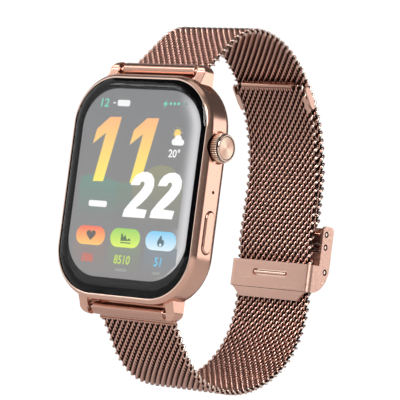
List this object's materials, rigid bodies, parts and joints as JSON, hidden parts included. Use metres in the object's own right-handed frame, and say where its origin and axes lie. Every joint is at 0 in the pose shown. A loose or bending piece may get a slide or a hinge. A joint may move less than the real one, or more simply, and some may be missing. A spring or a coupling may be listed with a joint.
{
  "type": "smartwatch",
  "caption": "Rectangular rounded smartwatch with a curved cover glass, a knurled crown, a side button and a closed woven-wire strap with a fold-over hook clasp.",
  "frame": {"origin": "centre of the flat sensor window on the back of the case, where the watch rests on a wrist", "axes": "+X towards the crown (3 o'clock), +Z towards 12 o'clock, +Y out of the back towards the clasp, so the screen faces -Y"},
  "size_m": [0.0427, 0.0639, 0.0849],
  "materials": {
    "case_metal": "satin rose-gold plating, bright at the screen's rim",
    "black_glass": "polished, dark printed border",
    "seal_rubber": "matt black",
    "screen": "lit, grey with coloured figures",
    "plain_steel": "plain",
    "circuit_board": "green resin",
    "cell_foil": "foil wrap",
    "black_plastic": "moulded black",
    "back_plastic": "fine matt, dark",
    "contact_gold": "gold flash",
    "mesh_wire": "woven rose-gold wire, dark between the rows",
    "clasp_metal": "finely brushed rose gold"
  },
  "bodies": {
    "case": {"case_frame": "case_metal", "cover_glass": "black_glass", "glass_gasket": "seal_rubber", "display_panel": "screen", "mid_frame": "plain_steel", "main_board": "circuit_board", "processor_shield": "plain_steel", "battery": "cell_foil", "vibration_motor": "plain_steel", "speaker": "black_plastic", "microphone": "contact_gold", "crown_tube": "plain_steel", "crown_encoder": "black_plastic", "button_switches": "black_plastic", "back_cover": "back_plastic", "back_gasket": "seal_rubber", "back_screws": "plain_steel", "sensor_window": "black_glass", "sensor_board": "circuit_board", "charging_pins": "contact_gold", "charging_magnets": "plain_steel", "spring_bar_barrels": "plain_steel", "spring_bar_tips": "plain_steel", "spring_bar_springs": "plain_steel"},
    "crown_plunger": {"crown_stem": "plain_steel"},
    "crown": {"crown_knob": "case_metal", "crown_cap": "case_metal", "encoder_wheel": "black_plastic"},
    "side_button": {"side_button": "case_metal", "button_posts": "plain_steel"},
    "upper_strap": {"upper_end_tube": "clasp_metal", "upper_mesh": "mesh_wire", "strap_hook": "clasp_metal"},
    "lower_strap": {"lower_end_tube": "clasp_metal", "lower_mesh": "mesh_wire", "tail_bar": "clasp_metal", "tail_keepers": "clasp_metal", "clasp_body": "clasp_metal", "grip_bar": "plain_steel", "hook_bar": "plain_steel", "lock_pin": "plain_steel", "lid_pin": "plain_steel"},
    "clasp_lid": {"clasp_lid": "clasp_metal", "lid_claws": "plain_steel"},
    "lock_plate": {"lock_plate": "clasp_metal"}
  },
  "joints": [
    {"name": "crown_press", "type": "slide", "parent": "case", "child": "crown_plunger", "axis": [-1, 0, 0], "range_m": [0, 0.0004], "stiffness_N_per_m": 800, "springref_m": -0.001},
    {"name": "crown_turn", "type": "hinge", "parent": "crown_plunger", "child": "crown", "pos_m": [0.0205, -0.0059, 0.0104], "axis": [1, 0, 0], "continuous": true},
    {"name": "button_press", "type": "slide", "parent": "case", "child": "side_button", "axis": [-1, 0, 0], "range_m": [0, 0.0003], "stiffness_N_per_m": 1000, "springref_m": -0.001},
    {"name": "upper_strap_swing", "type": "hinge", "parent": "case", "child": "upper_strap", "pos_m": [0, -0.0046, 0.0275], "axis": [1, 0, 0], "range_deg": [0, 60]},
    {"name": "lower_strap_swing", "type": "hinge", "parent": "case", "child": "lower_strap", "pos_m": [0, -0.0046, -0.0275], "axis": [1, 0, 0], "range_deg": [-24, 0]},
    {"name": "lid_swing", "type": "hinge", "parent": "lower_strap", "child": "clasp_lid", "pos_m": [0, 0.0514, -0.0116], "axis": [1, 0, 0], "range_deg": [-100, 0]},
    {"name": "lock_swing", "type": "hinge", "parent": "lower_strap", "child": "lock_plate", "pos_m": [0, 0.0505, -0.00564], "axis": [1, 0, 0], "range_deg": [0, 6]}
  ],
  "couplings": [
    {"joint": "lower_strap_swing", "follows": "upper_strap_swing", "ratio": -0.4}
  ]
}
